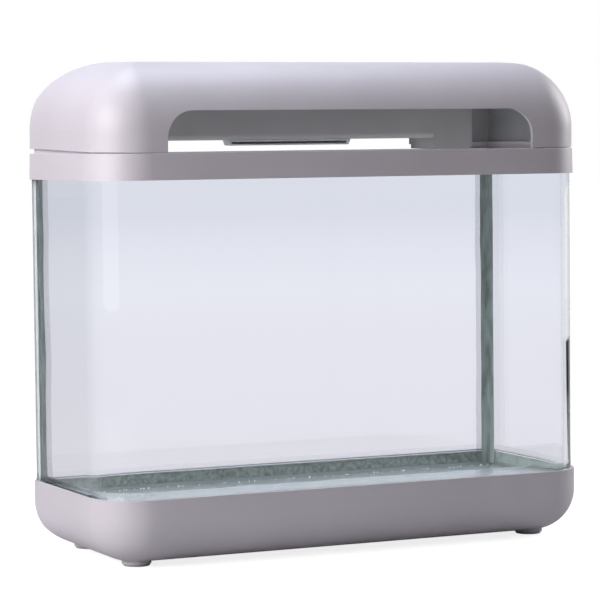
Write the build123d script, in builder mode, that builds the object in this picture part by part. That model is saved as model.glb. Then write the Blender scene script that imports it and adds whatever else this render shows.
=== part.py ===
from build123d import *
from math import asin, atan, degrees
import os

# Slim desktop aquarium: bent glass tank on a low moulded base, with a lift-off hood and an LED lamp.
# Millimetres, +Z up. The origin is on the floor under the middle, and the front looks towards -Y.

# Overall sizes
tank_width = 400
tank_depth = 157
front_radius = 38
rear_radius = 7
rear_shrink = 2
foot_clear = 3.5
base_height = 47.9
glass_show = 227.7
rim_height = 19.3
hood_height = 65

# Base
base_wall = 2
base_edge_radius = 32
rib_wall = 2
rib_columns = 9
rib_rows = 3
deck_thickness = 2.4
deck_clearance = 0.5
boss_radius = 10.8
boss_drop = 1.9
boss_height = 9
foot_radius = 9.8
foot_recess = 1.2
foot_clearance = 0.15
foot_edge = 0.6
foot_side_inset = 36.5
foot_front_inset = 36.5
foot_rear_inset = 22.5

# Glass and its joints
glass = 5
glass_gap = 0.5
glass_rear_gap = 2
floor_drop = 10.8
bedding_thickness = 1.5
bedding_overhang = 7
joint = 1
bottom_bead = 4
corner_bead = 5
seal_height = 5.5
seal_top = 0.3
seal_foot = 0.6
seal_depth = 2
seal_corner = 3.5

# Rim
rim_wall = 2
rim_flare = 0.5
rim_flange = 2.4
rim_bond_thickness = 0.4
rim_inner_gap = 1
rim_inner_wall = 2
rim_inner_height = 12
rim_edge = 0.7
lip_wall = 2
lip_height = 5
lip_clearance = 0.6
lip_margin = 4

# Hood, whose rear edge stands a little higher than its front edge
hood_wall = 3
hood_inset = 0.9
hood_edge_radius = 50
hood_seam = 0.3
hood_lift = 3.4
hood_lower_edge = 0.6
window_width = 298
window_height = 30.1
window_radius = 20

# Inner cover, with the slot that runs out through the rear of the hood
cover_wall = 2
cover_width = 317
cover_depth = 39.5
cover_clearance = 0.4
cover_corner_radius = 4
slot_width = 249
slot_height = 6
slot_top_radius = 4.5
boss_column_radius = 4
boss_column_spacing = 210
boss_column_setback = 14
screw_radius = 1.5
screw_clearance = 0.1
screw_head_radius = 3
screw_head_height = 1.6
cover_screw_length = 12

# Lamp
lamp_length = 104.5
lamp_slant = 1.8
lamp_depth = 10
lamp_height = 4.2
lamp_setback = 3
lamp_wall = 1.2
lamp_roof = 1.2
lamp_slot_margin = 0.35
lamp_slot_height = 1.7
lens_thickness = 1
lens_rebate = 0.5
lens_clearance = 0.1
board_end_margin = 3
board_side_margin = 1
board_thickness = 0.8
chip_size = 3
chip_height = 0.6
chip_count = 12
lamp_screw_inset = 4

# Lamp driver, its lead and the grommet
driver_length = 60
driver_width = 20
driver_height = 16
driver_edge = 1.5
driver_ear = 8
driver_ear_thickness = 2
driver_offset = -62
driver_setback = 18
lead_radius = 1.6
lead_height = 8
lead_bend = 6
lead_run = 22
grommet_wall = 1.2
grommet_flange = 1.5
grommet_flange_height = 1
grommet_clearance = 0.1

# Cutting bodies run past what they cut by this much, and no corner is sharper than the least radius
overcut = 5
least_radius = 0.5
standing = (Align.CENTER, Align.MIN)
standing_solid = (Align.CENTER, Align.CENTER, Align.MIN)

# Levels worked out from the sizes above
base_top = foot_clear + base_height
rim_bottom = base_top + glass_show
rim_top = rim_bottom + rim_height
hood_bottom = rim_top + hood_seam
hood_top = rim_top + hood_height
bottom_glass_top = base_top - floor_drop
wall_bottom = bottom_glass_top - glass
deck_top = wall_bottom - bedding_thickness
deck_bottom = deck_top - deck_thickness
bond_top = rim_top - rim_flange
glass_top = bond_top - rim_bond_thickness

# Places worked out from the sizes above
glass_inset = base_wall + glass_gap
glass_rear = tank_depth / 2 - base_wall - glass_rear_gap
back_front = glass_rear - glass
tank_inside = glass_inset + glass
inside_width = tank_width - 2 * tank_inside
bedding_inset = tank_inside + bedding_overhang
bedding_rear = back_front - bedding_overhang
rim_reach = rim_inner_gap + rim_inner_wall
lip_inset = hood_inset + hood_wall + lip_clearance
hood_width = tank_width - 2 * hood_inset
hood_depth = tank_depth - 2 * hood_inset
cover_rear = hood_depth / 2 - hood_wall - cover_clearance
cover_front = cover_rear - cover_depth
floor_bottom = rim_top + slot_height
floor_top = floor_bottom + cover_wall
sink_depth = screw_head_radius - screw_radius
leg_lift = hood_lift * (back_front - rim_reach + hood_depth / 2) / hood_depth
leg_bottom = hood_bottom - leg_lift
lamp_front = cover_front + lamp_setback
lamp_rear = lamp_front + lamp_depth
lamp_middle = (lamp_front + lamp_rear) / 2
lamp_bottom = floor_bottom - lamp_height
lamp_cavity_length = lamp_length - 2 * lamp_slant - 2 * lamp_wall
lamp_cavity_depth = lamp_depth - 2 * lamp_wall
lamp_slot_length = lamp_cavity_length - 2 * lamp_slot_margin
board_length = lamp_cavity_length - 2 * board_end_margin
board_width = lamp_cavity_depth - 2 * board_side_margin
chip_pitch = board_length / chip_count
lamp_screw_spacing = board_length - 2 * lamp_screw_inset
board_top = floor_bottom - lamp_roof
board_bottom = board_top - board_thickness
lens_top = lamp_bottom + lens_thickness
driver_middle = cover_front + driver_setback + driver_width / 2
lead_start = driver_offset + driver_length / 2
grommet_x = lead_start + lead_run
grommet_radius = lead_radius + grommet_wall
foot_side = tank_width / 2 - foot_side_inset
foot_front = foot_front_inset - tank_depth / 2
foot_rear = tank_depth / 2 - foot_rear_inset
foot_places = {
    "front_left": (-foot_side, foot_front),
    "front_right": (foot_side, foot_front),
    "rear_left": (-foot_side, foot_rear),
    "rear_right": (foot_side, foot_rear),
}
cover_screw_places = [
    (side * boss_column_spacing / 2, cover_front + setback)
    for side in (-1, 1)
    for setback in (boss_column_setback, cover_depth - boss_column_setback)
]
sink_places = [(x, y, floor_bottom) for x, y in cover_screw_places]
lamp_screw_places = [(side * lamp_screw_spacing / 2, lamp_middle) for side in (-1, 1)]
driver_screw_places = [
    (driver_offset + side * (driver_length + driver_ear) / 2, driver_middle) for side in (-1, 1)
]


# Corner radii at an inset from the outside. The rear ones shrink by a multiple of the inset,
# so that the square corners of the glass clear them.
def front_corner(inset):
    return max(front_radius - inset, least_radius)


def rear_corner(inset):
    return max(rear_radius - rear_shrink * inset, least_radius)


# Outline of the moulded body seen from above, drawn in all round by the inset.
def plan_outline(inset):
    with BuildSketch() as outline:
        Rectangle(tank_width - 2 * inset, tank_depth - 2 * inset)
        fillet(outline.vertices().group_by(Axis.Y)[0], front_corner(inset))
        fillet(outline.vertices().group_by(Axis.Y)[-1], rear_corner(inset))
    return outline.sketch


# Outline of the bent glass seen from above: round front corners and a straight rear edge.
def glass_outline(inset, rear):
    front = inset - tank_depth / 2
    with BuildSketch() as outline:
        with Locations((0, (front + rear) / 2)):
            Rectangle(tank_width - 2 * inset, rear - front)
        fillet(outline.vertices().group_by(Axis.Y)[0], front_corner(inset))
    return outline.sketch


# Outline of the seal seen from above: the same, with small round rear corners.
def seal_outline(inset, rear):
    with BuildSketch() as outline:
        add(glass_outline(inset, rear))
        fillet(outline.vertices().group_by(Axis.Y)[-1], seal_corner)
    return outline.sketch


# Block with its foot at Z 0, round upright corners and one large round along the whole top edge.
def domed_block(wall, width, depth, height, edge_radius):
    block_width = width - 2 * wall
    block_depth = depth - 2 * wall
    block_height = height - wall
    edge = edge_radius - wall
    inset = (tank_width - width) / 2 + wall
    corners = {-1: front_corner(inset), 1: rear_corner(inset)}
    with BuildPart() as block:
        with BuildSketch(Plane.XZ.offset(-block_depth / 2)) as front_view:
            Rectangle(block_width, block_height, align=standing)
            fillet(front_view.vertices().group_by(Axis.Y)[-1], edge)
        extrude(amount=block_depth)
        with BuildSketch(Plane.YZ.offset(-block_width / 2)) as side_view:
            Rectangle(block_depth, block_height, align=standing)
            fillet(side_view.vertices().group_by(Axis.Y)[-1], edge)
        extrude(amount=block_width, mode=Mode.INTERSECT)
        for end, radius in corners.items():
            for side in (-1, 1):
                corner = (side * block_width / 2, end * block_depth / 2)
                axis = (side * (block_width / 2 - radius), end * (block_depth / 2 - radius))
                with BuildSketch():
                    with Locations(((corner[0] + axis[0]) / 2, (corner[1] + axis[1]) / 2)):
                        Rectangle(radius, radius)
                extrude(amount=block_height, mode=Mode.SUBTRACT)
                with BuildSketch(Plane((*axis, 0), x_dir=(side, 0, 0), z_dir=(0, -side, 0))) as profile:
                    with Locations((radius, 0)):
                        Rectangle(block_width, block_height, align=(Align.MAX, Align.MIN))
                    fillet(profile.vertices().group_by(Axis.Y)[-1].sort_by(Axis.X)[-1], edge)
                    Rectangle(radius, block_height, align=(Align.MIN, Align.MIN), mode=Mode.INTERSECT)
                revolve(axis=Axis((*axis, 0), (0, 0, side * end)), revolution_arc=90)
    return block.part


# Base: a bowl with a rib grid up to the deck and a boss over each foot
base_dome = domed_block(0, tank_width, tank_depth, base_height, base_edge_radius)
base_core = domed_block(base_wall, tank_width, tank_depth, base_height, base_edge_radius)
base_outer = mirror(base_dome, about=Plane.XY)
base_inner = mirror(base_core, about=Plane.XY)

with BuildPart() as rib_grid:
    with BuildSketch(Plane.XY.offset(foot_clear)):
        with GridLocations(tank_width / (rib_columns + 1), 0, rib_columns, 1):
            Rectangle(rib_wall, tank_depth)
        with GridLocations(0, tank_depth / (rib_rows + 1), 1, rib_rows):
            Rectangle(tank_width, rib_wall)
    extrude(amount=deck_bottom - foot_clear)
    with Locations((0, 0, base_top)):
        add(base_inner, mode=Mode.INTERSECT)

with BuildPart() as base_shell:
    with Locations((0, 0, base_top)):
        add(base_outer)
        add(base_inner, mode=Mode.SUBTRACT)
    add(rib_grid.part)
    with BuildSketch(Plane.XY.offset(foot_clear - boss_drop)):
        with Locations(*foot_places.values()):
            Circle(boss_radius)
    extrude(amount=boss_height + boss_drop)
    with BuildSketch(Plane.XY.offset(foot_clear - boss_drop)):
        with Locations(*foot_places.values()):
            Circle(foot_radius + foot_clearance)
    extrude(amount=foot_recess, mode=Mode.SUBTRACT)
base_shell.part.label = "base_shell"

feet = {}
for place, (foot_x, foot_y) in foot_places.items():
    with BuildPart() as foot:
        with BuildSketch():
            with Locations((foot_x, foot_y)):
                Circle(foot_radius)
        extrude(amount=foot_clear - boss_drop + foot_recess)
        fillet(foot.edges().group_by(Axis.Z)[0], foot_edge)
    foot.part.label = "foot_" + place
    feet[place] = foot.part

with BuildPart() as support_deck:
    with BuildSketch(Plane.XY.offset(deck_bottom)):
        add(plan_outline(base_wall + deck_clearance))
    extrude(amount=deck_thickness)
support_deck.part.label = "support_deck"

# Glass walls, panes and the soft joints between them
with BuildPart() as bedding_strip:
    with BuildSketch(Plane.XY.offset(deck_top)):
        add(glass_outline(glass_inset, glass_rear))
        add(glass_outline(bedding_inset, bedding_rear), mode=Mode.SUBTRACT)
    extrude(amount=bedding_thickness)
bedding_strip.part.label = "bedding_strip"

with BuildPart() as bent_glass:
    with BuildSketch(Plane.XY.offset(wall_bottom)):
        add(glass_outline(glass_inset, glass_rear))
        add(glass_outline(tank_inside, glass_rear + overcut), mode=Mode.SUBTRACT)
    extrude(amount=glass_top - wall_bottom)
bent_glass.part.label = "bent_glass"

with BuildPart() as back_glass:
    with BuildSketch(Plane.XY.offset(wall_bottom)):
        with Locations((0, (back_front + glass_rear) / 2)):
            Rectangle(inside_width - 2 * joint, glass)
    extrude(amount=glass_top - wall_bottom)
back_glass.part.label = "back_glass"

with BuildPart() as bottom_glass:
    with BuildSketch(Plane.XY.offset(wall_bottom)):
        add(glass_outline(tank_inside + joint, back_front - joint))
    extrude(amount=glass)
bottom_glass.part.label = "bottom_glass"

with BuildPart() as silicone_bottom:
    with BuildSketch(Plane.XY.offset(wall_bottom)):
        add(glass_outline(tank_inside, back_front))
    extrude(amount=glass + bottom_bead)
    with BuildSketch(Plane.XY.offset(wall_bottom)):
        add(glass_outline(tank_inside + joint, back_front - joint))
    extrude(amount=glass, mode=Mode.SUBTRACT)
    with BuildSketch(Plane.XY.offset(bottom_glass_top)):
        add(glass_outline(tank_inside + bottom_bead, back_front - bottom_bead))
    with BuildSketch(Plane.XY.offset(bottom_glass_top + bottom_bead)):
        add(glass_outline(tank_inside, back_front))
    loft(ruled=True, mode=Mode.SUBTRACT)
silicone_bottom.part.label = "silicone_bottom"

bead_bottom = bottom_glass_top + bottom_bead
bead_top = rim_top - rim_inner_height - joint
back_beads = {}
for name, side in (("left", -1), ("right", 1)):
    wall_x = side * inside_width / 2
    with BuildPart() as back_bead:
        with BuildSketch(Plane.XY.offset(wall_bottom)):
            with Locations((wall_x - side * joint / 2, (back_front + glass_rear) / 2)):
                Rectangle(joint, glass)
        extrude(amount=glass_top - wall_bottom)
        with BuildSketch(Plane.XY.offset(bead_bottom)):
            with BuildLine():
                Polyline(
                    (wall_x, back_front),
                    (wall_x - side * corner_bead, back_front),
                    (wall_x, back_front - corner_bead),
                    close=True,
                )
            make_face()
        extrude(amount=bead_top - bead_bottom)
    back_bead.part.label = "silicone_back_" + name
    back_beads[name] = back_bead.part

# Seal along the base's edge: fills the gap beside the glass and climbs a little way up it
with BuildPart() as edge_seal:
    with BuildSketch(Plane.XY.offset(base_top)):
        add(seal_outline(base_wall - seal_foot, tank_depth / 2 - base_wall + seal_foot))
    with BuildSketch(Plane.XY.offset(base_top + seal_height)):
        add(seal_outline(glass_inset - seal_top, glass_rear + seal_top))
    loft(ruled=True)
    with BuildSketch(Plane.XY.offset(base_top - seal_depth)):
        add(plan_outline(base_wall))
    extrude(amount=seal_depth)
    with BuildSketch(Plane.XY.offset(base_top - seal_depth)):
        add(glass_outline(glass_inset, glass_rear))
    extrude(amount=seal_depth + seal_height, mode=Mode.SUBTRACT)
edge_seal.part.label = "edge_seal"

# Rim: flared skirt, flange over the glass, inner skirt, and the lip that the hood drops over
with BuildPart() as rim_bond:
    with BuildSketch(Plane.XY.offset(glass_top)):
        add(glass_outline(glass_inset, glass_rear))
        add(glass_outline(tank_inside, back_front), mode=Mode.SUBTRACT)
    extrude(amount=rim_bond_thickness)
rim_bond.part.label = "rim_bond"

with BuildPart() as top_rim:
    with BuildSketch(Plane.XY.offset(rim_bottom)):
        add(plan_outline(0))
    extrude(amount=rim_height, taper=degrees(atan(rim_flare / rim_height)))
    fillet(top_rim.edges().group_by(Axis.Z)[-1], rim_edge)
    with BuildSketch(Plane.XY.offset(rim_bottom)):
        add(plan_outline(rim_wall))
    extrude(amount=rim_height - rim_flange, mode=Mode.SUBTRACT)
    with BuildSketch(Plane.XY.offset(rim_top - rim_inner_height)):
        add(glass_outline(tank_inside + rim_inner_gap, back_front - rim_inner_gap))
    extrude(amount=rim_inner_height - rim_flange)
    with BuildSketch(Plane.XY.offset(rim_top)):
        add(plan_outline(lip_inset))
        add(plan_outline(lip_inset + lip_wall), mode=Mode.SUBTRACT)
        with Locations((0, -tank_depth / 2)):
            Rectangle(window_width + 2 * lip_margin, tank_depth, mode=Mode.SUBTRACT)
        with Locations((0, tank_depth / 2)):
            Rectangle(cover_width + 2 * lip_margin, tank_depth, mode=Mode.SUBTRACT)
    extrude(amount=lip_height)
    with BuildSketch(Plane.XY.offset(rim_bottom)):
        add(glass_outline(tank_inside + rim_reach, back_front - rim_reach))
    extrude(amount=rim_height, mode=Mode.SUBTRACT)
top_rim.part.label = "top_rim"

# Hood: domed shell with the feeding window, the rear slot and four screw columns
hood_outer = domed_block(0, hood_width, hood_depth, hood_top - hood_bottom, hood_edge_radius)
hood_inner = domed_block(hood_wall, hood_width, hood_depth, hood_top - hood_bottom, hood_edge_radius)
cover_inset = hood_wall + cover_clearance
cover_room = domed_block(cover_inset, hood_width, hood_depth, hood_top - leg_bottom, hood_edge_radius)

with BuildPart() as screw_columns:
    with BuildSketch(Plane.XY.offset(floor_top)):
        with Locations(*cover_screw_places):
            Circle(boss_column_radius)
    extrude(amount=hood_top - floor_top)
    with Locations((0, 0, hood_bottom)):
        add(hood_outer, mode=Mode.INTERSECT)

with BuildPart() as hood_shell:
    with Locations((0, 0, hood_bottom)):
        add(hood_outer)
    fillet(hood_shell.edges().group_by(Axis.Z)[0], hood_lower_edge)
    with Locations((0, 0, hood_bottom)):
        add(hood_inner, mode=Mode.SUBTRACT)
    with BuildSketch(Plane.XZ.offset(hood_depth / 2 - hood_edge_radius)) as window:
        with Locations((0, rim_top)):
            Rectangle(window_width, window_height, align=standing)
        fillet(window.vertices().group_by(Axis.Y)[-1], window_radius)
    extrude(amount=hood_edge_radius + overcut, mode=Mode.SUBTRACT)
    with BuildSketch(Plane.XZ.offset(-hood_depth / 2 - overcut)):
        with Locations((0, rim_top)):
            Rectangle(slot_width, slot_height, align=standing)
    extrude(amount=hood_wall + 2 * overcut, mode=Mode.SUBTRACT)
    add(screw_columns.part)
    with BuildSketch(Plane.XY.offset(floor_top)):
        with Locations(*cover_screw_places):
            Circle(screw_radius + screw_clearance)
    extrude(amount=cover_screw_length, mode=Mode.SUBTRACT)
hood_shell.part.label = "hood_shell"

# Inner cover: open at the back and top, with a leg beside each end of the slot that stands on the rim
with BuildPart() as inner_cover:
    with BuildSketch(Plane.XZ.offset(-cover_rear)) as cover_view:
        with Locations((0, leg_bottom)):
            Rectangle(cover_width, hood_top - leg_bottom, align=standing)
        fillet(cover_view.vertices().group_by(Axis.Y)[0], cover_corner_radius)
        with Locations((0, leg_bottom)):
            Rectangle(slot_width, floor_bottom - leg_bottom, align=standing, mode=Mode.SUBTRACT)
    extrude(amount=cover_depth)
    with BuildSketch(Plane.YZ.offset(-slot_width / 2)):
        with Locations((cover_front, floor_bottom)):
            Rectangle(slot_top_radius, slot_top_radius, align=(Align.MIN, Align.MIN))
        with Locations((cover_front + slot_top_radius, floor_bottom + slot_top_radius)):
            Circle(slot_top_radius, mode=Mode.SUBTRACT)
    extrude(amount=slot_width, mode=Mode.SUBTRACT)
    with BuildSketch(Plane.XZ.offset(-cover_rear)):
        with Locations((0, leg_bottom + cover_wall)):
            Rectangle(cover_width - 2 * cover_wall, hood_top - leg_bottom, align=standing)
        with Locations((0, leg_bottom)):
            Rectangle(
                slot_width + 2 * cover_wall,
                floor_top - leg_bottom,
                align=standing,
                mode=Mode.SUBTRACT,
            )
    extrude(amount=cover_depth - cover_wall, mode=Mode.SUBTRACT)
    with BuildSketch(Plane.XY.offset(floor_bottom)):
        with Locations(*cover_screw_places, *lamp_screw_places, *driver_screw_places):
            Circle(screw_radius + screw_clearance)
        with Locations((grommet_x, lamp_middle)):
            Circle(grommet_radius + grommet_clearance)
    extrude(amount=cover_wall, mode=Mode.SUBTRACT)
    with Locations(*sink_places):
        Cone(
            screw_head_radius + screw_clearance,
            screw_radius + screw_clearance,
            sink_depth,
            align=standing_solid,
            mode=Mode.SUBTRACT,
        )
    with Locations((0, 0, leg_bottom)):
        add(cover_room, mode=Mode.INTERSECT)
inner_cover.part.label = "inner_cover"

# Countersunk screws, flush with the top of the slot
with BuildPart() as cover_screws:
    with Locations(*sink_places):
        Cone(screw_head_radius, screw_radius, sink_depth, align=standing_solid)
    with BuildSketch(Plane.XY.offset(floor_bottom)):
        with Locations(*cover_screw_places):
            Circle(screw_radius)
    extrude(amount=cover_screw_length)
cover_screws.part.label = "cover_screws"

# Lamp: slanted-ended housing under the cover's floor, with a slot along its front and a lens below
with BuildPart() as lamp_housing:
    with BuildSketch(Plane.XZ.offset(-lamp_rear)):
        with BuildLine():
            Polyline(
                (-lamp_length / 2, floor_bottom),
                (lamp_length / 2, floor_bottom),
                (lamp_length / 2 - lamp_slant, lamp_bottom),
                (lamp_slant - lamp_length / 2, lamp_bottom),
                close=True,
            )
        make_face()
    extrude(amount=lamp_depth)
    with BuildSketch(Plane.XY.offset(lamp_bottom)):
        with Locations((0, lamp_middle)):
            Rectangle(lamp_cavity_length, lamp_cavity_depth)
    extrude(amount=lamp_height - lamp_roof, mode=Mode.SUBTRACT)
    with BuildSketch(Plane.XY.offset(lamp_bottom)):
        with Locations((0, lamp_middle)):
            Rectangle(lamp_cavity_length + 2 * lens_rebate, lamp_cavity_depth + 2 * lens_rebate)
    extrude(amount=lens_thickness, mode=Mode.SUBTRACT)
    with BuildSketch(Plane.XZ.offset(-lamp_front - lamp_wall)):
        with Locations((0, (lens_top + board_top) / 2)):
            Rectangle(lamp_slot_length, lamp_slot_height)
    extrude(amount=lamp_wall, mode=Mode.SUBTRACT)
    with BuildSketch(Plane.XY.offset(board_top)):
        with Locations(*lamp_screw_places):
            Circle(screw_radius + screw_clearance)
        with Locations((grommet_x, lamp_middle)):
            Circle(lead_radius + grommet_clearance)
    extrude(amount=lamp_roof, mode=Mode.SUBTRACT)
lamp_housing.part.label = "lamp_housing"

with BuildPart() as lamp_lens:
    with BuildSketch(Plane.XY.offset(lamp_bottom)):
        with Locations((0, lamp_middle)):
            Rectangle(
                lamp_cavity_length + 2 * (lens_rebate - lens_clearance),
                lamp_cavity_depth + 2 * (lens_rebate - lens_clearance),
            )
    extrude(amount=lens_thickness)
lamp_lens.part.label = "lamp_lens"

with BuildPart() as led_board:
    with BuildSketch(Plane.XY.offset(board_bottom)):
        with Locations((0, lamp_middle)):
            Rectangle(board_length, board_width)
    extrude(amount=board_thickness)
led_board.part.label = "led_board"

with BuildPart() as led_chips:
    with BuildSketch(Plane.XY.offset(board_bottom - chip_height)):
        with Locations((0, lamp_middle)):
            with GridLocations(chip_pitch, 0, chip_count, 1):
                Rectangle(chip_size, chip_size)
    extrude(amount=chip_height)
led_chips.part.label = "led_chips"

with BuildPart() as lamp_screws:
    with BuildSketch(Plane.XY.offset(floor_top)):
        with Locations(*lamp_screw_places):
            Circle(screw_head_radius)
    extrude(amount=screw_head_height)
    with BuildSketch(Plane.XY.offset(board_top + screw_clearance)):
        with Locations(*lamp_screw_places):
            Circle(screw_radius)
    extrude(amount=floor_top - board_top - screw_clearance)
lamp_screws.part.label = "lamp_screws"

# Lamp driver on the cover's floor, with a screw ear at each end
with BuildPart() as led_driver:
    with BuildSketch(Plane.XY.offset(floor_top)):
        with Locations((driver_offset, driver_middle)):
            Rectangle(driver_length, driver_width)
    extrude(amount=driver_height)
    fillet(led_driver.edges().group_by(Axis.Z)[-1], driver_edge)
    with BuildSketch(Plane.XY.offset(floor_top)):
        with Locations((driver_offset, driver_middle)):
            SlotOverall(driver_length + 2 * driver_ear, 2 * screw_head_radius + driver_ear_thickness)
    extrude(amount=driver_ear_thickness)
    with BuildSketch(Plane.XY.offset(floor_top)):
        with Locations(*driver_screw_places):
            Circle(screw_radius + screw_clearance)
    extrude(amount=driver_ear_thickness, mode=Mode.SUBTRACT)
led_driver.part.label = "led_driver"

with BuildPart() as driver_screws:
    with BuildSketch(Plane.XY.offset(floor_top + driver_ear_thickness)):
        with Locations(*driver_screw_places):
            Circle(screw_head_radius)
    extrude(amount=screw_head_height)
    with BuildSketch(Plane.XY.offset(floor_bottom)):
        with Locations(*driver_screw_places):
            Circle(screw_radius)
    extrude(amount=cover_wall + driver_ear_thickness)
driver_screws.part.label = "driver_screws"

# Lead from the driver, bent down through the grommet in the floor to the LED board
with BuildPart() as lamp_lead:
    with BuildLine() as lead_path:
        FilletPolyline(
            (lead_start, driver_middle, floor_top + lead_height),
            (grommet_x, driver_middle, floor_top + lead_height),
            (grommet_x, lamp_middle, floor_top + lead_height),
            (grommet_x, lamp_middle, board_top),
            radius=lead_bend,
        )
    with BuildSketch(Plane((lead_start, driver_middle, floor_top + lead_height), z_dir=(1, 0, 0))):
        Circle(lead_radius)
    sweep(path=lead_path.line)
lamp_lead.part.label = "lamp_lead"

with BuildPart() as lead_grommet:
    with BuildSketch(Plane.XY.offset(floor_bottom)):
        with Locations((grommet_x, lamp_middle)):
            Circle(grommet_radius)
    extrude(amount=cover_wall)
    with BuildSketch(Plane.XY.offset(floor_top)):
        with Locations((grommet_x, lamp_middle)):
            Circle(grommet_radius + grommet_flange)
    extrude(amount=grommet_flange_height)
    with BuildSketch(Plane.XY.offset(floor_bottom)):
        with Locations((grommet_x, lamp_middle)):
            Circle(lead_radius + grommet_clearance)
    extrude(amount=cover_wall + grommet_flange_height, mode=Mode.SUBTRACT)
lead_grommet.part.label = "lead_grommet"

# The hood stands on its front edge and on the cover's legs, which hold its rear edge up
hood_axis = Axis((0, -hood_depth / 2, hood_bottom), (1, 0, 0))
hood_lean = degrees(asin(hood_lift / hood_depth))
hood_pieces = [
    hood_shell,
    inner_cover,
    cover_screws,
    lamp_housing,
    lamp_lens,
    led_board,
    led_chips,
    lamp_screws,
    led_driver,
    driver_screws,
    lamp_lead,
    lead_grommet,
]
tank_pieces = [
    base_shell,
    support_deck,
    bedding_strip,
    bent_glass,
    back_glass,
    bottom_glass,
    silicone_bottom,
    edge_seal,
    rim_bond,
    top_rim,
]
solids = [piece.part for piece in tank_pieces] + [*feet.values(), *back_beads.values()]
solids += [piece.part.rotate(hood_axis, hood_lean) for piece in hood_pieces]

os.makedirs("parts", exist_ok=True)
for solid in solids:
    export_step(solid, "parts/" + solid.label + ".step")
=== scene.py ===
import math
import random

import bmesh
import bpy
from mathutils import Matrix, Vector, noise


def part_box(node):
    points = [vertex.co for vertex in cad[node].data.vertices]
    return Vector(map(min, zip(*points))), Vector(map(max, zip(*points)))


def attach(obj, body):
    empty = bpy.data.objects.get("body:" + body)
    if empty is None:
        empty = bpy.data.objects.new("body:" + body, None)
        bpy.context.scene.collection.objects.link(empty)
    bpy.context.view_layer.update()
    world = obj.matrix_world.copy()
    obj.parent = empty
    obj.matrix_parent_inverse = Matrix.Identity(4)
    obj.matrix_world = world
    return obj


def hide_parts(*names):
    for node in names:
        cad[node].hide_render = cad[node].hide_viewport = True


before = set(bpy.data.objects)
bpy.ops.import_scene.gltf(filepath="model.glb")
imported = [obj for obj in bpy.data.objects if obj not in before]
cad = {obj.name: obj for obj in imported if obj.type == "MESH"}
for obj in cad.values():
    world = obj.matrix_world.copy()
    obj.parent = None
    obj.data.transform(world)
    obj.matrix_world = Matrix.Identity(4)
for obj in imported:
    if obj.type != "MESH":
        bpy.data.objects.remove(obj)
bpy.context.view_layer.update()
scene = bpy.context.scene
scene.view_settings.view_transform = "Standard"
mm = 0.001
print("frame loaded:", len(cad), "nodes")

# The camera is fitted to the edges of the rim, the base, the window and the hood
cameraFit = {
    "place": (-0.87786, -1.84353, 0.30775),
    "yaw": 0.4398,
    "pitch": -0.0601,
    "roll": -0.0110,
    "lens": 161.18,
    "sensor": 36,
    "clip": (0.05, 100),
}


def addCamera(fit):
    cosPitch, cosRoll, sinRoll = math.cos(fit["pitch"]), math.cos(fit["roll"]), math.sin(fit["roll"])
    cosYaw, sinYaw = math.cos(fit["yaw"]), math.sin(fit["yaw"])
    forward = Vector((sinYaw * cosPitch, cosYaw * cosPitch, math.sin(fit["pitch"])))
    level = Vector((cosYaw, -sinYaw, 0))
    upright = level.cross(forward)
    across = level * cosRoll + upright * sinRoll
    upwards = upright * cosRoll - level * sinRoll
    turn = Matrix((across, upwards, -forward)).transposed().to_4x4()
    data = bpy.data.cameras.new("photoCamera")
    data.lens = fit["lens"]
    data.sensor_width = fit["sensor"]
    data.clip_start, data.clip_end = fit["clip"]
    camera = bpy.data.objects.new("photoCamera", data)
    camera.matrix_world = Matrix.Translation(fit["place"]) @ turn
    scene.collection.objects.link(camera)
    scene.camera = camera


addCamera(cameraFit)
print("camera set")


def linear(hexColour):
    parts = [int(hexColour[i:i + 2], 16) / 255 for i in (1, 3, 5)]
    return [c / 12.92 if c <= 0.04045 else ((c + 0.055) / 1.055) ** 2.4 for c in parts] + [1.0]


# Adds a node and gives its outputs. A setting is a property, a socket's value or an output to link to it.
# A Mix of colours takes them at sockets 6 and 7, and gives its result at output 2.
def put(tree, kind, settings=None):
    node = tree.nodes.new("ShaderNode" + kind)
    for name, value in (settings or {}).items():
        if isinstance(value, bpy.types.NodeSocket):
            tree.links.new(value, node.inputs[name])
        elif isinstance(name, int) or name in node.inputs:
            node.inputs[name].default_value = value
        else:
            setattr(node, name, value)
    return node.outputs


def newMaterial(name):
    material = bpy.data.materials.new(name)
    material.use_nodes = True
    material.node_tree.nodes.clear()
    return material, material.node_tree


moulding = {
    "cloudDetail": 3,
    "blotch": {"From Min": 0.3, "From Max": 0.7},
    "grainDetail": 2,
    "gloss": {"From Min": 0.35, "From Max": 0.65},
    "grainDepth": 0.2,  # of the grain's width
}


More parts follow.
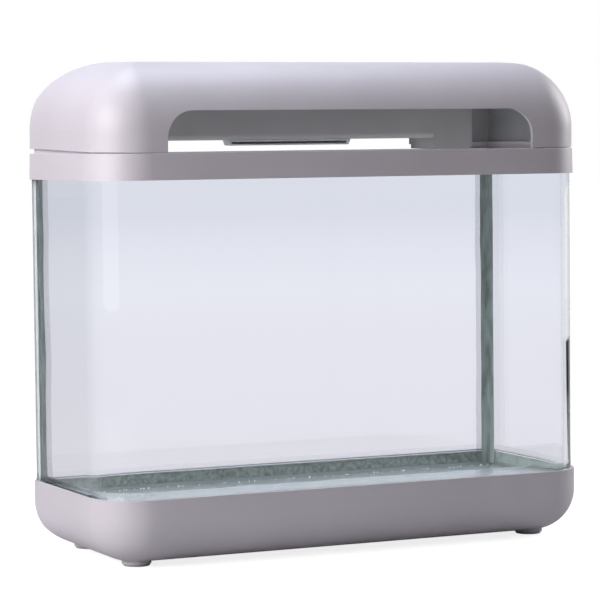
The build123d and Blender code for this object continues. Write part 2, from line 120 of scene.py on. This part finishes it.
# Moulded or cast plastics and rubbers: a fine tool grain, cloudy colour and uneven gloss.
# The real grain is too fine to show, so grainMm is as coarse as it needs to be to show.
# The clouds can be drawn out along an axis.
# A shell can have painted shade inside: a greyer colour on the faces that look towards its centre.
def mouldedMaterial(name, look):
    material, tree = newMaterial(name)
    coordinates = put(tree, "TexCoord")
    spot = coordinates["Object"]
    drawn = put(tree, "VectorMath", {"operation": "MULTIPLY", 0: spot, 1: look.get("drawn", (1, 1, 1))})
    clouds = put(tree, "TexNoise", {
        "Scale": 1 / (look["cloudMm"] * mm), "Detail": moulding["cloudDetail"], "Vector": drawn["Vector"]})
    blotch = put(tree, "MapRange", {**moulding["blotch"], "Value": clouds["Fac"]})
    tint = put(tree, "Mix", {
        "data_type": "RGBA", 0: blotch[0], 6: linear(look["colour"]), 7: linear(look["shade"])})
    # painted shade: faces that look towards the centre take the greyer inside colour
    if "inside" in look:
        outward = put(tree, "VectorMath", {"operation": "SUBTRACT", 0: spot, 1: look["inside"]["centre"]})
        facing = put(tree, "VectorMath", {
            "operation": "DOT_PRODUCT", 0: outward["Vector"], 1: coordinates["Normal"]})
        inside = put(tree, "Math", {"operation": "LESS_THAN", 0: facing["Value"], 1: 0})
        tint = put(tree, "Mix", {
            "data_type": "RGBA", 0: inside[0], 6: tint[2], 7: linear(look["inside"]["colour"])})
    grain = put(tree, "TexNoise", {
        "Scale": 1 / (look["grainMm"] * mm), "Detail": moulding["grainDetail"], "Vector": spot})
    smooth, rough = look["rough"]
    gloss = put(tree, "MapRange", {
        **moulding["gloss"], "To Min": smooth, "To Max": rough, "Value": grain["Fac"]})
    depth = look["grainMm"] * mm * moulding["grainDepth"]
    bump = put(tree, "Bump", {"Strength": look["bump"], "Distance": depth, "Height": grain["Fac"]})
    surface = put(tree, "BsdfPrincipled", {
        "IOR": look["ior"], "Base Color": tint[2], "Roughness": gloss[0], "Normal": bump[0],
        **look.get("more", {})})
    put(tree, "OutputMaterial", {"Surface": surface[0]})
    return material


# ABS, injection moulded in a finely sparked tool: pale, satin, with broad soft highlights
satinAbs = {"colour": "#e5dde6", "shade": "#dfd7e0", "cloudMm": 70, "grainMm": 1.1, "rough": (0.41, 0.49),
            "bump": 0.05, "ior": 1.54, "more": {"Specular IOR Level": 0.7}}
shellAbs = mouldedMaterial("mouldedAbsSatin", satinAbs)
# The same on the hood, with painted shade inside it: a greyer colour on the faces that look towards its
# centre
hoodAbs = mouldedMaterial("mouldedAbsHoodShadedInside", {
    **satinAbs, "inside": {"colour": "#b9b8b8", "centre": (0, 0, 0.325)}})
# The same ABS on the inner cover, left duller by the tool, and greyer as painted shade for the hood's
# shadow over it
coverAbs = mouldedMaterial("mouldedAbsDullPaintedShade", {
    "colour": "#c9c5c4", "shade": "#bfbbba", "cloudMm": 45, "grainMm": 1.0,
    "rough": (0.5, 0.62), "bump": 0.08, "ior": 1.54})
# ABS plate, moulded flat: pale and dull, so that it only lightens the glass over it
deckAbs = mouldedMaterial("mouldedAbsDeck", {
    "colour": "#e2e4e7", "shade": "#d8dade", "cloudMm": 30, "grainMm": 1.2,
    "rough": (0.5, 0.65), "bump": 0.1, "ior": 1.54})
# Soft rubber pad, moulded: dull and a little darker than the shell
footRubber = mouldedMaterial("mouldedRubberPad", {
    "colour": "#c9c5ca", "shade": "#beb9bf", "cloudMm": 9, "grainMm": 0.8,
    "rough": (0.6, 0.75), "bump": 0.1, "ior": 1.5})
# Foam, blown and cut: grey-green, pitted and without gloss
foamStrip = mouldedMaterial("closedCellFoam", {
    "colour": "#c4cbc9", "shade": "#aeb7b5", "cloudMm": 4, "grainMm": 0.7,
    "rough": (0.8, 0.95), "bump": 0.5, "ior": 1.45})
# Aluminium, folded and painted white: satin, with only a trace of the metal's sheen
lampAluminium = mouldedMaterial("paintedAluminium", {
    "colour": "#f0f3f4", "shade": "#e2e6e7", "cloudMm": 12, "grainMm": 0.6,
    "rough": (0.35, 0.5), "bump": 0.08, "ior": 1.5, "more": {"Metallic": 0.1}})
# Acrylic, frosted in its tool: milky, so that the lamp's inside shows only as a blur
lensPlastic = mouldedMaterial("frostedAcrylic", {
    "colour": "#e6e6e1", "shade": "#dcdcd6", "cloudMm": 10, "grainMm": 0.8,
    "rough": (0.35, 0.5), "bump": 0.1, "ior": 1.49, "more": {"Transmission Weight": 0.6}})
# Circuit board, coated with dark resist: nearly black, with a soft gloss
boardMask = mouldedMaterial("solderMask", {
    "colour": "#1f1f1f", "shade": "#191919", "cloudMm": 5, "grainMm": 0.7,
    "rough": (0.3, 0.4), "bump": 0.05, "ior": 1.5})
# Phosphor, cast over each diode: small warm yellow squares
ledPhosphor = mouldedMaterial("ledPhosphor", {
    "colour": "#f0d873", "shade": "#e4c95c", "cloudMm": 1.5, "grainMm": 0.5,
    "rough": (0.35, 0.5), "bump": 0.05, "ior": 1.5})
# Steel, cold headed and zinc plated: grey metal with a slightly uneven shine
screwSteel = mouldedMaterial("zincPlatedSteel", {
    "colour": "#b9babb", "shade": "#a5a6a8", "cloudMm": 2, "grainMm": 0.6,
    "rough": (0.25, 0.4), "bump": 0.08, "ior": 1.5, "more": {"Metallic": 1.0}})
# ABS, moulded black in a coarser tool: dark and grained
driverCase = mouldedMaterial("mouldedAbsBlack", {
    "colour": "#2a2a2b", "shade": "#232324", "cloudMm": 12, "grainMm": 0.8,
    "rough": (0.45, 0.6), "bump": 0.15, "ior": 1.54})
# PVC, extruded round the wires: black, with a dull even gloss
leadSheath = mouldedMaterial("pvcSheath", {
    "colour": "#2c2c2d", "shade": "#242425", "cloudMm": 6, "grainMm": 0.6,
    "rough": (0.4, 0.55), "bump": 0.1, "ior": 1.53})
# The end of a pane, ground matt: pale, with the glass's green only faintly in it
groundEdge = mouldedMaterial("groundGlassEdge", {
    "colour": "#e6dfe4", "shade": "#d6d3d6", "cloudMm": 8, "grainMm": 0.5,
    "rough": (0.5, 0.7), "bump": 0.1, "ior": 1.5})
# Silicone pooled in the rear corners: grey-green and streaky; its darkness is painted shade, where the
# clear bead bends the light away
pooledSiliconePaintedShade = mouldedMaterial("pooledSiliconePaintedShade", {
    "colour": "#8b9895", "shade": "#4b5754", "cloudMm": 5, "grainMm": 1.5,
    "rough": (0.25, 0.5), "bump": 0.15, "ior": 1.41, "drawn": (1, 1, 0.2)})
# The bond in the base along the back pane: darker, with finer mottling; the darkness is painted shade of
# the tray's rear
shadedBondSilicone = mouldedMaterial("rearSiliconePaintedShade", {
    "colour": "#98a29e", "shade": "#556059", "cloudMm": 3.2, "grainMm": 1.5,
    "rough": (0.35, 0.5), "bump": 0.1, "ior": 1.41})
# The same bond wiped smooth on the bent glass, without the painted shade: paler and more even
wipedSilicone = mouldedMaterial("wipedSilicone", {
    "colour": "#b0b4b2", "shade": "#8d9491", "cloudMm": 9, "grainMm": 1.5,
    "rough": (0.35, 0.5), "bump": 0.05, "ior": 1.41})
# Crumbs of lime and sand left in the tank: white and dull
whiteGrit = mouldedMaterial("limeGrit", {
    "colour": "#f4f4f2", "shade": "#dcdcd8", "cloudMm": 3, "grainMm": 0.5,
    "rough": (0.6, 0.8), "bump": 0.1, "ior": 1.5})

clearing = {"smearDetail": 4, "smear": {"From Min": 0.5, "From Max": 0.8}}


# Clear pieces: light bends through them, and the lamps still reach what stands behind
def clearMaterial(name, look):
    material, tree = newMaterial(name)
    spot = put(tree, "TexCoord")["Object"]
    smears = put(tree, "TexNoise", {
        "Scale": 1 / (look["smearMm"] * mm), "Detail": clearing["smearDetail"], "Vector": spot})
    least, most = look["haze"]
    haze = put(tree, "MapRange", {
        **clearing["smear"], "To Min": least, "To Max": most, "Value": smears["Fac"]})
    clear = put(tree, "BsdfPrincipled", {
        "Base Color": linear(look["colour"]), "IOR": look["ior"], "Transmission Weight": look["clear"],
        "Roughness": haze[0]})
    through = put(tree, "BsdfTransparent", {"Color": linear(look["shadow"])})
    shadowed = put(tree, "LightPath")["Is Shadow Ray"]
    surface = put(tree, "MixShader", {0: shadowed, 1: clear[0], 2: through[0]})
    depth = put(tree, "VolumeAbsorption", {
        "Color": linear(look["depthColour"]), "Density": look["density"]})
    put(tree, "OutputMaterial", {"Surface": surface[0], "Volume": depth[0]})
    return material


# Soda-lime float glass, polished on both sides: nearly clear through the pane, green along it
polishedGlass = {"colour": "#ffffff", "clear": 1.0, "shadow": "#f9fbfb", "ior": 1.52, "smearMm": 40,
                 "haze": (0.0, 0.02), "depthColour": "#7cc5c4", "density": 9}
wallGlass = clearMaterial("floatGlassPolished", polishedGlass)
# The same glass in the bottom pane, scoured by gravel: hazy in broad patches
floorGlass = clearMaterial("floatGlassScoured", {
    **polishedGlass, "colour": "#f4f5f8", "clear": 0.89, "smearMm": 25, "haze": (0.14, 0.32)})
# Acetic silicone, smoothed by hand: clear, with soft uneven gloss
smoothSilicone = {"colour": "#fbfbfb", "clear": 1.0, "shadow": "#f4f6f6", "ior": 1.41, "smearMm": 9,
                  "haze": (0.0, 0.05), "depthColour": "#cbe1dd", "density": 5}
sealSilicone = clearMaterial("smoothedSilicone", smoothSilicone)
# The film smeared beside the rear beads: thin and faintly milky
smearSilicone = clearMaterial("smearedSilicone", {
    **smoothSilicone, "colour": "#e2e3e4", "clear": 0.96, "haze": (0.02, 0.1)})
# The bead inside, tooled: older and milkier
siliconeBead = clearMaterial("tooledSilicone", {
    "colour": "#aab3b3", "clear": 0.7, "shadow": "#eef0f0", "ior": 1.41, "smearMm": 5, "haze": (0.1, 0.3),
    "depthColour": "#bcdad4", "density": 8})
print("materials made")

sharpDeg = 35  # an edge that turns more than this is shaded as an edge


# Joins rings of points into a skin. Rings can be closed or open, and so can the run of rings.
def loft(name, rings, ringClosed, runClosed, material, body, replaced=(), endMaterial=None):
    build = bmesh.new()
    grid = [[build.verts.new(p) for p in ring] for ring in rings]
    count = len(rings[0])
    runs = len(grid) if runClosed else len(grid) - 1
    steps = count if ringClosed else count - 1
    for k in range(runs):
        here, there = grid[k], grid[(k + 1) % len(grid)]
        for i in range(steps):
            build.faces.new((here[i], here[(i + 1) % count], there[(i + 1) % count], there[i]))
    if ringClosed and not runClosed:
        build.faces.new(list(reversed(grid[0])))
        build.faces.new(grid[-1])
    if runClosed and not ringClosed:
        build.faces.new([ring[0] for ring in grid]).material_index = 1
        build.faces.new([ring[-1] for ring in reversed(grid)]).material_index = 1
    bmesh.ops.recalc_face_normals(build, faces=build.faces)
    mesh = bpy.data.meshes.new(name)
    build.to_mesh(mesh)
    build.free()
    mesh.shade_smooth()
    mesh.set_sharp_from_angle(angle=math.radians(sharpDeg))
    mesh.materials.append(material)
    if endMaterial:
        mesh.materials.append(endMaterial)
    piece = bpy.data.objects.new(name, mesh)
    scene.collection.objects.link(piece)
    even = piece.modifiers.new("evenShading", "WEIGHTED_NORMAL")
    even.keep_sharp = True
    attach(piece, body)
    if replaced:
        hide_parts(*replaced)
    return piece


glass = {"thickness": 5 * mm, "bendRadius": 33.3 * mm, "gentle": 2.5, "easeDeg": 5, "bendSteps": 48,
         "arris": 0.4 * mm, "clear": 0.05 * mm}
outline = {"bendSteps": 16, "sideParts": 30, "frontParts": 80, "rearParts": 96}


# U-shaped line inside the glass's outer face: rear left, front left bend, front right bend, rear right.
# Glass bent hot starts to turn gently, so the radius is larger at both ends of a bend.
def bentPath(inset, rear, steps):
    low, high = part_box("bent_glass")
    bend, place = [], Vector((0, 0))
    for i in range(steps + 1):
        turn = math.radians(90 * i / steps)
        bend.append(place + inset * Vector((math.cos(turn), math.sin(turn))))
        middle = 90 * (i + 0.5) / steps
        ease = math.exp(-middle / glass["easeDeg"]) + math.exp((middle - 90) / glass["easeDeg"])
        reach = glass["bendRadius"] * (1 + glass["gentle"] * ease) * math.radians(90 / steps)
        if i < steps:
            heading = math.radians(middle)
            place = place + reach * Vector((math.sin(heading), -math.cos(heading)))
    left = [(low.x + spot.x, low.y - place.y + spot.y) for spot in bend]
    right = [(-x, y) for x, y in reversed(left)]
    return [(low.x + inset, rear)] + left + right + [(high.x - inset, rear)]


# Closes that line along the rear, split alike whatever its size, with the rear corners rounded off
def closedPath(inset, rear, rearRadius=0):
    steps = outline["bendSteps"]
    corners = bentPath(inset, rear, steps)
    parts = {0: outline["sideParts"], steps + 1: outline["frontParts"], 2 * steps + 2: outline["sideParts"],
             2 * steps + 3: outline["rearParts"]}
    path = []
    for i, (x, y) in enumerate(corners):
        nextX, nextY = corners[(i + 1) % len(corners)]
        count = parts.get(i, 1)
        path += [(x + (nextX - x) * j / count, y + (nextY - y) * j / count) for j in range(count)]
    if not rearRadius:
        return path
    half, rounded = corners[-1][0], []
    for x, y in path:
        side = math.copysign(1, x)
        outX, outY = abs(x) - (half - rearRadius), y - (rear - rearRadius)
        if outX > 0 and outY > 0:
            reach = rearRadius / math.hypot(outX, outY)
            x, y = side * (half - rearRadius + outX * reach), rear - rearRadius + outY * reach
        rounded.append((x, y))
    return rounded


# Inset and height of a pane's section: its four edges are ground off a little
def arrisedSection(g, low, high):
    thickness, arris = g["thickness"], g["arris"]
    bottom, top = low.z + g["clear"], high.z - g["clear"]
    return [(0, bottom + arris), (0, top - arris), (arris, top), (thickness - arris, top),
            (thickness, top - arris), (thickness, bottom + arris), (thickness - arris, bottom),
            (arris, bottom)]


def addGlass(g):
    low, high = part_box("bent_glass")
    wallX = high.x
    rings = []
    for inset, height in arrisedSection(g, low, high):
        rings.append([(x, y, height) for x, y in bentPath(inset, high.y, g["bendSteps"])])
    walls = loft("bentWalls", rings, False, True, wallGlass, "tank", ["bent_glass"], groundEdge)
    low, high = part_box("back_glass")
    rings = []
    for inset, height in arrisedSection(g, low, high):
        rings.append([(low.x, high.y - inset, height), (high.x, high.y - inset, height)])
    back = loft("backPane", rings, False, True, wallGlass, "tank", ["back_glass"], groundEdge)
    low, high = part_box("bottom_glass")
    rings = []
    bottom, arris = low.z + g["clear"], g["arris"]
    for inset, height in ((arris, bottom), (0, bottom + arris), (0, high.z - arris), (arris, high.z)):
        path = bentPath(wallX - high.x + inset, high.y - inset, g["bendSteps"])
        rings.append([(x, y, height) for x, y in path])
    floorPane = loft("bottomPane", rings, True, False, floorGlass, "tank", ["bottom_glass"])


addGlass(glass)
print("glass made")

silicone = {
    "bead": 2.6 * mm, "joint": 1 * mm, "bite": 0.06 * mm, "wave": 0.6 * mm, "waveMm": 26, "hollow": 0.3,
    "faceSteps": 4, "floorFaceSteps": 5, "floorLoose": 0.7, "rise": 2 * mm, "smear": 4.3 * mm,
    "smearThick": 0.3 * mm,
    "corners": [
        {"node": "silicone_back_left", "name": "Left", "side": -1, "across": 5.2 * mm, "along": 5 * mm},
        {"node": "silicone_back_right", "name": "Right", "side": 1, "across": 8.8 * mm, "along": 5 * mm},
    ],
}


# How far a hand-tooled edge strays at a point along it
def stray(x, y, z, s):
    return s["wave"] * noise.noise(Vector((x, y, z)) / (s["waveMm"] * mm))


# Share of the way down and across a bead's face, which is a little hollow
def hollowFace(hollow, steps):
    shares = []
    for i in range(1, steps):
        t = i / steps
        dip = hollow * math.sin(math.pi * t) / 2
        shares.append((max(t - dip, 0), max(1 - t - dip, 0)))
    return shares


# Bead round the floor of the tank, with the joint beside the bottom pane
def addBottomBead(s):
    low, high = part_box("silicone_bottom")
    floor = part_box("bottom_glass")[1].z
    size, bite, loose = s["bead"], s["bite"], s["floorLoose"]
    face = hollowFace(s["hollow"], s["floorFaceSteps"])
    section = [(-bite, low.z, 0), (-bite, floor + size, 1)]
    section += [(size * across, floor + size * up, loose) for across, up in face]
    pane = s["joint"] + bite
    section += [(size, floor - bite, 0), (pane, floor - bite, 0), (pane, low.z, 0)]
    rings = []
    for inset, height, share in section:
        path = closedPath(glass["thickness"] + inset, high.y - inset)
        rings.append([(x, y, height + share * stray(x, y, 0, s)) for x, y in path])
    piece = loft("bottomBead", rings, True, True, siliconeBead, "tank", ["silicone_bottom"])


# Silicone in the two rear corners: the pooled bead, the joint beside the back pane and a thin smear on it
def addBackBeads(s):
    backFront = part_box("back_glass")[0].y
    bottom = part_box("bottom_glass")[1].z
    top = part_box("top_rim")[0].z + s["rise"] / 2
    face = hollowFace(s["hollow"], s["faceSteps"])
    bite, gap, thick = s["bite"], s["joint"] + s["bite"], s["smearThick"]
    onBack = backFront + bite
    for corner in s["corners"]:
        low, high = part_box(corner["node"])
        side = corner["side"]
        wallX = side * max(abs(low.x), abs(high.x))
        onWall = wallX + side * bite
        count = round((high.z - low.z) / s["rise"])
        bead, joint, smear = [], [], []
        for k in range(count + 1):
            z = low.z + (high.z - low.z) * k / count
            pane = wallX - side * gap
            joint.append([(onWall, high.y, z), (pane, high.y, z), (pane, onBack, z), (onWall, onBack, z)])
            if not bottom <= z <= top:
                continue
            across = corner["across"] + stray(wallX, z, 0, s)
            along = corner["along"] + stray(wallX, z, 1, s)
            ring = [(onWall, onBack, z), (wallX - side * across, onBack, z)]
            ring += [(wallX - side * across * up, backFront - along * out, z) for out, up in face]
            ring.append((onWall, backFront - along, z))
            bead.append(ring)
            edge = across + s["smear"] + stray(wallX, z, 2, s)
            start = wallX - side * (across - thick)
            smear.append([(start, onBack, z), (wallX - side * edge, onBack, z),
                          (wallX - side * (edge - thick), backFront - thick, z),
                          (start, backFront - thick, z)])
        name = corner["name"]
        pieces = [loft("backBead" + name, bead, True, False, pooledSiliconePaintedShade, "tank", [corner["node"]]),
                  loft("backJoint" + name, joint, True, False, sealSilicone, "tank"),
                  loft("backSmear" + name, smear, True, False, smearSilicone, "tank")]


seal = {"height": 5.5 * mm, "foot": 0.6 * mm, "depth": 2 * mm, "wallRearRadius": 3 * mm}


# Seal between the base's edge and the outside of the glass
def addEdgeSeal(s, e):
    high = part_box("bent_glass")[1]
    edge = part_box("base_shell")[1].z
    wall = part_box("edge_seal")[1] - Vector((e["foot"], e["foot"], 0))
    bite, foot, gap, wallRear = s["bite"], e["foot"], wall.x - high.x, e["wallRearRadius"]
    onGlass = closedPath(bite, high.y - bite)
    onFoot = closedPath(-gap - foot, wall.y + foot, wallRear + foot)
    onWall = closedPath(-gap - bite, wall.y + bite, wallRear + bite)
    rings = [[(x, y, edge - e["depth"]) for x, y in onGlass]]
    rings.append([(x, y, edge + e["height"] + stray(x, y, 0, s)) for x, y in onGlass])
    for out, up in hollowFace(s["hollow"], s["faceSteps"]):
        rings.append([
            (x + (footX - x) * out, y + (footY - y) * out, edge + up * (e["height"] + stray(x, y, 0, s)))
            for (x, y), (footX, footY) in zip(onGlass, onFoot)])
    rings.append([(x, y, edge - bite) for x, y in onFoot])
    rings.append([(x, y, edge - bite) for x, y in onWall])
    rings.append([(x, y, edge - e["depth"]) for x, y in onWall])
    loft("edgeSeal", rings, True, True, sealSilicone, "tank", ["edge_seal"])


bond = {"clear": 0.02 * mm, "thick": 0.3 * mm, "top": 0.4 * mm, "tall": 9.6 * mm, "topLoose": 0.4}


# Silicone that bonds the glass into the base: paler on the bent glass; on the back pane dark and mottled,
# the darkness painted shade
def addBaseBond(s, b):
    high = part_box("bent_glass")[1]
    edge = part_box("base_shell")[1].z
    near = closedPath(-b["clear"], high.y + b["clear"])
    far = closedPath(-b["thick"], high.y + b["thick"])
    loose = b["topLoose"]
    rings = []
    for inner, outer in zip(near, far):
        ring = [(inner, b["top"], loose), (outer, b["top"], loose),
                (outer, b["tall"], 1), (inner, b["tall"], 1)]
        rings.append([(x, y, edge - drop + share * stray(x, y, drop, s)) for (x, y), drop, share in ring])
    rear = len(rings) - outline["rearParts"]
    loft("baseBondFront", rings[:rear + 1], True, False, wipedSilicone, "tank")
    loft("baseBondRear", rings[rear:] + rings[:1], True, False, shadedBondSilicone, "tank")


addBottomBead(silicone)
addBackBeads(silicone)
addEdgeSeal(silicone, seal)
addBaseBond(silicone, bond)
print("silicone made")

grit = {"count": 80, "sizeMm": (0.5, 1.2), "wide": (0.6, 1), "tall": (0.4, 0.8), "tilt": 1,
        "from": 2.8 * mm, "spread": 2.5 * mm, "crowd": 2, "margin": 4 * mm, "lift": 0.2, "seed": 11}


# Crumbs of white grit caught along the bead at the rear of the floor
def addGrit(g):
    random.seed(g["seed"])
    low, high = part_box("bottom_glass")
    build = bmesh.new()
    for crumb in range(g["count"]):
        size = random.uniform(*g["sizeMm"]) * mm
        away = g["from"] + g["spread"] * random.random() ** g["crowd"]
        x = random.uniform(low.x + g["margin"], high.x - g["margin"])
        place = Matrix.Translation((x, high.y - away, high.z + size * g["lift"]))
        turn = Matrix.Rotation(random.uniform(0, math.tau), 4, "Z")
        tilt = Matrix.Rotation(random.uniform(0, g["tilt"]), 4, "X")
        wide, tall = size * random.uniform(*g["wide"]), size * random.uniform(*g["tall"])
        grow = Matrix.Diagonal((size, wide, tall, 1))
        bmesh.ops.create_icosphere(build, subdivisions=1, radius=0.5, matrix=place @ turn @ tilt @ grow)
    mesh = bpy.data.meshes.new("grit")
    build.to_mesh(mesh)
    build.free()
    mesh.materials.append(whiteGrit)
    piece = bpy.data.objects.new("grit", mesh)
    scene.collection.objects.link(piece)
    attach(piece, "tank")


addGrit(grit)
print("grit made")

finishes = {
    "base_shell": shellAbs, "top_rim": shellAbs, "hood_shell": hoodAbs, "inner_cover": coverAbs,
    "support_deck": deckAbs, "bedding_strip": foamStrip, "rim_bond": siliconeBead,
    "foot_front_left": footRubber, "foot_front_right": footRubber,
    "foot_rear_left": footRubber, "foot_rear_right": footRubber,
    "cover_screws": screwSteel, "lamp_screws": screwSteel, "driver_screws": screwSteel,
    "lamp_housing": lampAluminium, "lamp_lens": lensPlastic, "led_board": boardMask,
    "led_chips": ledPhosphor, "led_driver": driverCase, "lamp_lead": leadSheath, "lead_grommet": leadSheath,
}
for node, material in finishes.items():
    cad[node].data.materials.clear()
    cad[node].data.materials.append(material)
print("CAD nodes dressed:", len(finishes))

studio = {
    "floorSize": 24,
    "floorColour": "#d0d0d1",
    "glow": {"From Min": 0.5, "From Max": 1.4, "To Min": 0.82},
    "through": [(0.5, "#efebf5"), (3.4, "#f3f1fc"), (9, "#e6e6f1")],
    "roomLight": 0.03,
    "darkRoom": 0.1,
    "backdrop": {"towards": (0.43, 0.90, 0.0), "fade": {"From Min": 0.7, "From Max": 0.95}},
    "side": {
        "towards": (0.80, 0.60, 0.0),
        "fade": {"From Min": 0.945, "From Max": 0.965},
        "shade": {"From Min": 0.7, "From Max": 1.3, "To Min": 0.2, "To Max": 0.03},
        "wall": {"From Min": 2.08, "From Max": 2.16},
        "screen": {"From Min": 0.955, "From Max": 0.985},
    },
}


# Pale floor: white to the eye but for the object's shadow, and so in mirrors that face the backdrop.
# Seen through glass it is the same, a little bluer far away.
def addFloor(s):
    backdrop, side = s["backdrop"], s["side"]
    bpy.ops.mesh.primitive_plane_add(size=s["floorSize"])
    floor = bpy.context.object
    floor.name = "floor"
    material, tree = newMaterial("paleStudioFloor")
    path = put(tree, "LightPath")
    spot = put(tree, "TexCoord")["Object"]
    away = put(tree, "VectorMath", {"operation": "LENGTH", 0: spot})["Value"]
    way = put(tree, "VectorMath", {"operation": "NORMALIZE", 0: spot})["Vector"]
    behind = put(tree, "VectorMath", {"operation": "DOT_PRODUCT", 0: way, 1: backdrop["towards"]})["Value"]
    matte = put(tree, "BsdfDiffuse", {"Color": linear(s["floorColour"])})[0]
    strength = put(tree, "MapRange", {**s["glow"], "Value": away})[0]
    glow = put(tree, "Emission", {"Strength": strength})[0]
    lit = put(tree, "AddShader", {0: matte, 1: glow})[0]
    shown = put(tree, "MapRange", {**backdrop["fade"], "Value": behind})[0]
    mirrored = put(tree, "Math", {"operation": "MULTIPLY", 0: shown, 1: path["Is Glossy Ray"]})[0]
    white = put(tree, "Math", {"operation": "MAXIMUM", 0: mirrored, 1: path["Is Camera Ray"]})[0]
    surface = put(tree, "MixShader", {0: white, 1: matte, 2: lit})[0]
    start, sheen = s["through"][0][0], linear(s["through"][0][1])
    for end, colour in s["through"][1:]:
        share = put(tree, "MapRange", {"From Min": start, "From Max": end, "Value": away})[0]
        sheen = put(tree, "Mix", {"data_type": "RGBA", 0: share, 6: sheen, 7: linear(colour)})[2]
        start = end
    through = put(tree, "Emission", {"Color": sheen})[0]
    surface = put(tree, "MixShader", {0: path["Is Transmission Ray"], 1: surface, 2: through})[0]
    # what the right bend mirrors inside the glass: a white wall far off to the side, and dark before it
    mirrors = put(tree, "Math", {"operation": "GREATER_THAN", 0: path["Glossy Depth"], 1: 0})[0]
    inGlass = put(tree, "Math", {"operation": "MULTIPLY", 0: mirrors, 1: path["Is Transmission Ray"]})[0]
    sideways = put(tree, "VectorMath", {"operation": "DOT_PRODUCT", 0: way, 1: side["towards"]})["Value"]
    aside = put(tree, "MapRange", {**side["fade"], "Value": sideways})[0]
    shade = put(tree, "MapRange", {**side["shade"], "Value": away})[0]
    wall = put(tree, "MapRange", {**side["wall"], "To Min": shade, "Value": away})[0]
    screen = put(tree, "MapRange", {**side["screen"], "Value": behind})[0]
    bright = put(tree, "Math", {"operation": "MAXIMUM", 0: wall, 1: screen})[0]
    mirror = put(tree, "Emission", {"Strength": bright})[0]
    share = put(tree, "Math", {"operation": "MULTIPLY", 0: inGlass, 1: aside})[0]
    surface = put(tree, "MixShader", {0: share, 1: surface, 2: mirror})[0]
    put(tree, "OutputMaterial", {"Surface": surface})
    floor.data.materials.append(material)


# Surroundings: white to the eye, bluish through glass, dark in mirrors but for the backdrop.
# They give the object only a little light.
def addRoom(s):
    backdrop = s["backdrop"]
    world = bpy.data.worlds.new("whiteRoom")
    scene.world = world
    world.use_nodes = True
    tree = world.node_tree
    tree.nodes.clear()
    path = put(tree, "LightPath")
    way = put(tree, "TexCoord")["Generated"]
    behind = put(tree, "VectorMath", {"operation": "DOT_PRODUCT", 0: way, 1: backdrop["towards"]})["Value"]
    bright = put(tree, "MapRange", {**backdrop["fade"], "To Min": s["darkRoom"], "Value": behind})[0]
    middle, distant = s["through"][1][1], s["through"][2][1]
    surface = put(tree, "Background", {"Strength": s["roomLight"]})[0]
    for seen, colour, strength in (("Is Glossy Ray", middle, bright), ("Is Transmission Ray", distant, 1),
                                   ("Is Camera Ray", "#ffffff", 1)):
        shown = put(tree, "Background", {"Color": linear(colour), "Strength": strength})[0]
        surface = put(tree, "MixShader", {0: path[seen], 1: surface, 2: shown})[0]
    put(tree, "OutputWorld", {"Surface": surface})


addFloor(studio)
addRoom(studio)

# Softboxes at both sides and overhead, with a dim panel under each of the side ones
lamps = [
    {"name": "leftSoftbox", "place": (-1.2, -0.33, 0.65), "aim": (-0.2, -0.05, 0.5), "size": (0.95, 0.66),
     "spreadDeg": 180, "power": 12.3, "colour": (1.0, 0.99, 0.99)},
    {"name": "leftPanel", "place": (-1.2, -0.29, 0.22), "aim": (-0.2, -0.05, 0.22), "size": (0.85, 0.2),
     "spreadDeg": 180, "power": 0.55, "colour": (1.0, 0.99, 0.99)},
    {"name": "rightSoftbox", "place": (1.25, 0.04, 0.73), "aim": (0.2, 0.0, 0.55), "size": (0.6, 0.8),
     "spreadDeg": 180, "power": 9.5, "colour": (1.0, 1.0, 1.0)},
    {"name": "rightPanel", "place": (1.2, 0.04, 0.22), "aim": (0.2, 0.0, 0.22), "size": (0.5, 0.2),
     "spreadDeg": 180, "power": 0.1, "colour": (1.0, 1.0, 1.0)},
    {"name": "topSoftbox", "place": (-0.04, 0.12, 0.9), "aim": (-0.02, 0.09, 0.36), "size": (0.75, 0.45),
     "spreadDeg": 90, "power": 1.3, "colour": (0.82, 0.91, 1.0)},
]


def addLamp(lamp):
    data = bpy.data.lights.new(lamp["name"], "AREA")
    data.shape = "RECTANGLE"
    data.size, data.size_y = lamp["size"]
    data.energy = lamp["power"]
    data.color = lamp["colour"]
    data.spread = math.radians(lamp["spreadDeg"])
    softbox = bpy.data.objects.new(lamp["name"], data)
    softbox.location = lamp["place"]
    way = Vector(lamp["aim"]) - Vector(lamp["place"])
    softbox.rotation_euler = way.to_track_quat("-Z", "Y").to_euler()
    softbox.visible_transmission = False  # as it isn't seen beside the glass, it isn't seen through it
    scene.collection.objects.link(softbox)


for lamp in lamps:
    addLamp(lamp)
print("studio lit")
